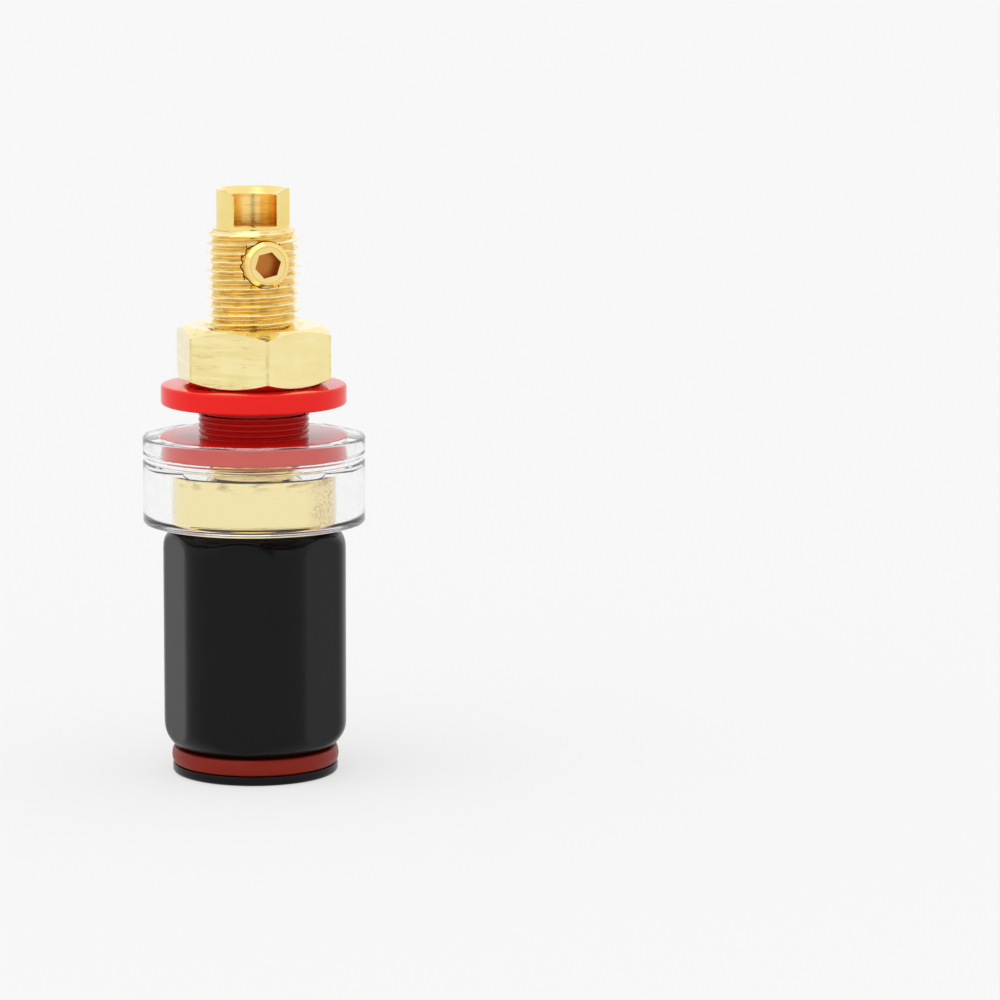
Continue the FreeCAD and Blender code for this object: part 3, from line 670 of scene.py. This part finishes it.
def make_post():
    thread_foot, seam = COLLAR_TOP + STUD_RUN_OUT, COLLAR_FOOT - 0.4
    bm = thread(STUD_RADIUS, STUD_ROOT, STUD_PITCH, thread_foot, STUD_END)
    turn_down(bm, STUD_RADIUS, STUD_END, STUD_CHAMFER, 1)
    cup = rounded([
        (CUP_RADIUS, STUD_END, 0),
        (CUP_RADIUS, CUP_TOP, 0.1),
        (CUP_BORE + CUP_MOUTH, CUP_TOP, 0.04),
        (CUP_BORE, CUP_TOP - CUP_MOUTH_DEPTH, 0.1),
        (CUP_BORE, CUP_BORE_FOOT, 0),
        (BORE_END, CUP_BORE_FOOT, 0),
    ])
    last = draw_on(bm, end_loop(bm, STUD_END), cup)
    bmesh.ops.contextual_create(bm, geom=last)
    collar = rounded([
        (STUD_ROOT, thread_foot - 0.2, 0),
        (STUD_ROOT, COLLAR_TOP, 0),
        (COLLAR_RADIUS, COLLAR_TOP, COLLAR_EDGE),
        (COLLAR_RADIUS, COLLAR_FOOT, COLLAR_EDGE),
        (TUBE_ROOT, COLLAR_FOOT, 0),
        (TUBE_ROOT, seam, 0),
    ])
    draw_on(bm, end_loop(bm, thread_foot), collar)

    tube_top = COLLAR_FOOT - TUBE_RUN_OUT
    tube = thread(TUBE_RADIUS, TUBE_ROOT, TUBE_PITCH, TUBE_FOOT, tube_top)
    turn_down(tube, TUBE_RADIUS, TUBE_FOOT, TUBE_CHAMFER, -1)
    socket = rounded([
        (SOCKET_RADIUS + SOCKET_MOUTH, TUBE_FOOT, 0.05),
        (SOCKET_RADIUS, TUBE_FOOT + SOCKET_MOUTH, 0.1),
        (SOCKET_RADIUS, SOCKET_END, 0),
        (BORE_END, SOCKET_END, 0),
    ])
    last = draw_on(tube, end_loop(tube, TUBE_FOOT), socket)
    bmesh.ops.contextual_create(tube, geom=last)
    draw_on(tube, end_loop(tube, tube_top), [(TUBE_ROOT, tube_top)])
    mesh = bpy.data.meshes.new("tube")
    tube.to_mesh(mesh)
    tube.free()
    bm.from_mesh(mesh)
    bpy.data.meshes.remove(mesh)
    bmesh.ops.bridge_loops(bm, edges=end_loop(bm, seam) + end_loop(bm, tube_top))
    close_up(bm)

    piece = as_object("turned_post", bm)
    across = STUD_RADIUS + 2
    cuts = [rod(WIRE_HOLE_RADIUS, -across, across), rod(GRUB_HOLE_RADIUS, -across, 0)]
    for cutter, height in zip(cuts, (WIRE_HOLE_HEIGHT, GRUB_HEIGHT)):
        bmesh.ops.translate(cutter, verts=cutter.verts, vec=(0, 0, height * MM))
    half = bmesh.new()
    bmesh.ops.create_cube(half, size=2 * across * MM)
    reach_up = CUP_CUT_FOOT + across
    bmesh.ops.translate(half, verts=half.verts, vec=(0, -(across + CUP_CUT_OFFSET) * MM, reach_up * MM))
    for cutter in (*cuts, half):
        turn_about_axis(cutter, POST_TURN)
        combine(piece, as_object("cutter", cutter), "DIFFERENCE")
    return dress(piece, "post", "post", POST_GOLD)


def make_grub():
    def is_rim(edge):
        return len({abs(face.normal.y) > 0.5 for face in edge.link_faces}) == 2

    bm = rod(GRUB_RADIUS, -GRUB_FACE, GRUB_LENGTH - GRUB_FACE, 96)
    rims = [edge for edge in bm.edges if is_rim(edge)]
    bevel = {"segments": 1, "profile": 0.5, "affect": "EDGES", "material": -1}
    bmesh.ops.bevel(bm, geom=rims, offset=GRUB_CHAMFER * MM, **bevel)
    piece = as_object("grub_screw_m4", bm)
    corner = KEY_FLATS / 2 / math.cos(HALF_HEXAGON)
    socket = rod(corner, -GRUB_FACE - 0.5, KEY_DEPTH - GRUB_FACE, 6)
    bmesh.ops.rotate(socket, verts=socket.verts, matrix=Matrix.Rotation(HALF_HEXAGON - KEY_TURN, 3, "Y"))
    combine(piece, as_object("cutter", socket), "DIFFERENCE")
    piece.data.transform(Matrix.Translation((0, 0, GRUB_HEIGHT * MM)))
    piece.data.transform(Matrix.Rotation(POST_TURN, 4, "Z"))
    return dress(piece, "grub", "grub_screw", GRUB_GOLD)


# Shroud, insulators and nut


def make_shroud():
    low, high, outer = foot("clear_shroud"), top("clear_shroud"), reach("clear_shroud")
    bore = COLLAR_RADIUS + 0.12
    pocket, pocket_floor = reach("front_flange") + 0.08, foot("front_flange")
    groove_high, groove_low, depth = high - 1.55, high - 2.15, 0.14
    web_foot = COLLAR_TOP + 0.03
    corners = [
        (bore, low, 0.8),
        (outer, low, 0.28),
        (outer, groove_low, 0.06),
        (outer - depth, groove_low + depth, 0.08),
        (outer - depth, groove_high - depth, 0.08),
        (outer, groove_high, 0.06),
        (outer, high, 0.2),
        (pocket, high, 0.06),
        (pocket, pocket_floor, 0),
        (STUD_HOLE, pocket_floor, 0),
        (STUD_HOLE, web_foot, 0),
        (bore, web_foot, 0),
    ]
    piece = as_object("clear_ring", turned(corners))
    return dress(piece, "shroud", "clear_shroud", CLEAR)


def make_front_insulator():
    low, high, outer = foot("front_flange"), top("front_flange"), reach("front_flange")
    face, pitch, depth, half = top("clear_shroud"), 0.47, 0.14, 0.17
    ridges = []
    for number in range(4):
        valley = face + pitch * (0.48 + number)
        ridges += [(NECK, valley - half, 0.03), (NECK - depth, valley, 0.03), (NECK, valley + half, 0.03)]
    corners = [
        (STUD_HOLE, low, 0.1),
        (outer, low, 0.12),
        (outer, face, 0.14),
        (NECK, face, 0.05),
        *ridges,
        (NECK, high, 0.02),
        (STUD_HOLE, high, 0.1),
    ]
    piece = as_object("front_insulator", turned(corners))
    return dress(piece, "shroud", "front_flange", RED_WITH_PAINTED_SHADE_AND_RIM_LIGHT)


def make_rear_insulator():
    low, high, outer = foot("rear_washer"), top("rear_washer"), reach("rear_washer")
    disc, boss = low + 0.75, NECK - 0.2
    corners = [
        (STUD_HOLE, low, 0.1),
        (boss, low, 0.12),
        (boss, disc, 0.08),
        (outer, disc, 0.25),
        (outer, high, 0.25),
        (STUD_HOLE, high, 0.15),
    ]
    piece = as_object("rear_insulator", turned(corners))
    return dress(piece, "washer", "rear_washer", RED)


def make_nut():
    low, high = foot("panel_nut"), top("panel_nut")
    corner = NUT_FLATS / 2 / math.cos(HALF_HEXAGON)
    bm = bmesh.new()
    bmesh.ops.create_circle(bm, cap_ends=True, segments=6, radius=corner * MM)
    bmesh.ops.translate(bm, verts=bm.verts, vec=(0, 0, low * MM))
    pulled = bmesh.ops.extrude_face_region(bm, geom=bm.faces[:])["geom"]
    moved = [item for item in pulled if isinstance(item, bmesh.types.BMVert)]
    bmesh.ops.translate(bm, verts=moved, vec=(0, 0, (high - low) * MM))
    turn_about_axis(bm, NUT_TURN + HALF_HEXAGON)
    close_up(bm)
    piece = as_object("hexagon_nut", bm)
    envelope = [
        (NUT_BORE + NUT_CHAMFER, low, 0),
        (NUT_FACE, low, 0),
        (corner, low + NUT_DROP, 0),
        (corner + 0.5, low + NUT_DROP * 1.4, 0),
        (corner + 0.5, high - NUT_DROP * 1.4, 0),
        (corner, high - NUT_DROP, 0),
        (NUT_FACE, high, 0),
        (NUT_BORE + NUT_CHAMFER, high, 0),
        (NUT_BORE, high - NUT_CHAMFER, 0),
        (NUT_BORE, low + NUT_CHAMFER, 0),
    ]
    combine(piece, as_object("envelope", turned(envelope, 144)), "INTERSECT")
    return dress(piece, "nut", "panel_nut", NUT_GOLD, 20)


make_knob()
make_ring()
make_bush()
make_post()
make_grub()
make_shroud()
make_front_insulator()
make_rear_insulator()
make_nut()


# Floor, light and camera. A level of 1 is white.

SEEN_LEVEL = 0.935
THROUGH_LEVEL = 0.94
DIFFUSE_LEVEL = 0.83
GLOSS_LEVEL = 1.05


def make_floor():
    bm = bmesh.new()
    bmesh.ops.create_circle(bm, cap_ends=True, segments=64, radius=3.0)
    bmesh.ops.translate(bm, verts=bm.verts, vec=(0, 0, -0.02 * MM))
    floor = as_object("floor", bm)
    finish = Finish("pale_floor", Specular_IOR_Level=0.0)
    shade = finish.noise(0.002, 2.0)
    colour = finish.blend(shade, (0.952, 0.952, 0.951), (0.962, 0.962, 0.961))
    floor.data.materials.append(finish.use(Base_Color=colour))

    # Seen straight, or in metal and clear plastic, more than half of the floor is its own even white
    path = finish.add("ShaderNodeLightPath").outputs
    seen = finish.maths("MAXIMUM", path["Is Camera Ray"], path["Is Glossy Ray"])
    seen = finish.maths("MAXIMUM", seen, path["Is Transmission Ray"])
    white = finish.add("ShaderNodeEmission", {"Color": (1, 0.999, 0.998, 1), "Strength": SEEN_LEVEL})
    share = finish.maths("MULTIPLY", seen, 0.6)
    mixed = finish.add("ShaderNodeMixShader", {0: share, 1: finish.shader.outputs[0], 2: white.outputs[0]})
    surface = finish.tree.nodes["Material Output"].inputs["Surface"]
    finish.tree.links.new(mixed.outputs[0], surface)


def make_light():
    """An even light from all round, with a narrow dark opening in front that only gloss shows."""
    world = bpy.data.worlds.new("studio")
    bpy.context.scene.world = world
    world.use_nodes = True
    tree = world.node_tree

    def put(value, socket):
        if isinstance(value, bpy.types.NodeSocket):
            tree.links.new(value, socket)
        else:
            socket.default_value = value

    def step(value, low, high, first, second):
        node = tree.nodes.new("ShaderNodeMapRange")
        node.interpolation_type = "SMOOTHSTEP"
        for socket, number in zip(node.inputs, (value, low, high, first, second)):
            put(number, socket)
        return node.outputs[0]

    def join(operation, first, second=0.0):
        node = tree.nodes.new("ShaderNodeMath")
        node.operation = operation
        put(first, node.inputs[0])
        put(second, node.inputs[1])
        return node.outputs[0]

    def pick(share, first, second):
        node = tree.nodes.new("ShaderNodeMix")
        put(share, node.inputs[0])
        put(first, node.inputs[2])
        put(second, node.inputs[3])
        return node.outputs[0]

    way = tree.nodes.new("ShaderNodeSeparateXYZ")
    put(tree.nodes.new("ShaderNodeTexCoord").outputs["Generated"], way.inputs[0])
    across = step(join("ABSOLUTE", join("SUBTRACT", way.outputs["X"], 0.055)), 0.06, 0.26, 0.12, GLOSS_LEVEL)
    behind = step(way.outputs["Y"], -0.2, 0.0, 0.0, GLOSS_LEVEL)
    above = step(way.outputs["Z"], 0.5, 0.8, 0.0, GLOSS_LEVEL)
    round_about = join("MAXIMUM", join("MAXIMUM", across, behind), above)

    path = tree.nodes.new("ShaderNodeLightPath").outputs
    soft = pick(path["Is Glossy Ray"], DIFFUSE_LEVEL, round_about)
    seen = pick(path["Is Transmission Ray"], soft, THROUGH_LEVEL)
    level = pick(path["Is Camera Ray"], seen, SEEN_LEVEL)
    background = tree.nodes["Background"].inputs
    put(level, background["Strength"])
    put((1.0, 1.0, 1.0, 1.0), background["Color"])

    lamp = bpy.data.lights.new("top_light", "SUN")
    lamp.energy = 0.55
    lamp.angle = math.radians(70)
    top_light = bpy.data.objects.new("top_light", lamp)
    top_light.rotation_euler = (math.radians(25), math.radians(-20), 0)
    bpy.context.scene.collection.objects.link(top_light)


def make_camera():
    data = bpy.data.cameras.new("camera")
    data.sensor_width = 36
    data.lens = 164.1
    data.clip_start, data.clip_end = 0.01, 20
    camera = bpy.data.objects.new("camera", data)
    camera.location = (20.88 * MM, -382.7 * MM, 83.43 * MM)
    look = Matrix.Rotation(math.radians(81.09), 3, "X") @ Matrix.Rotation(math.radians(0.2), 3, "Z")
    camera.rotation_euler = look.to_euler()
    bpy.context.scene.collection.objects.link(camera)
    bpy.context.scene.camera = camera


make_floor()
make_light()
make_camera()

view = bpy.context.scene.view_settings
view.view_transform = "Standard"
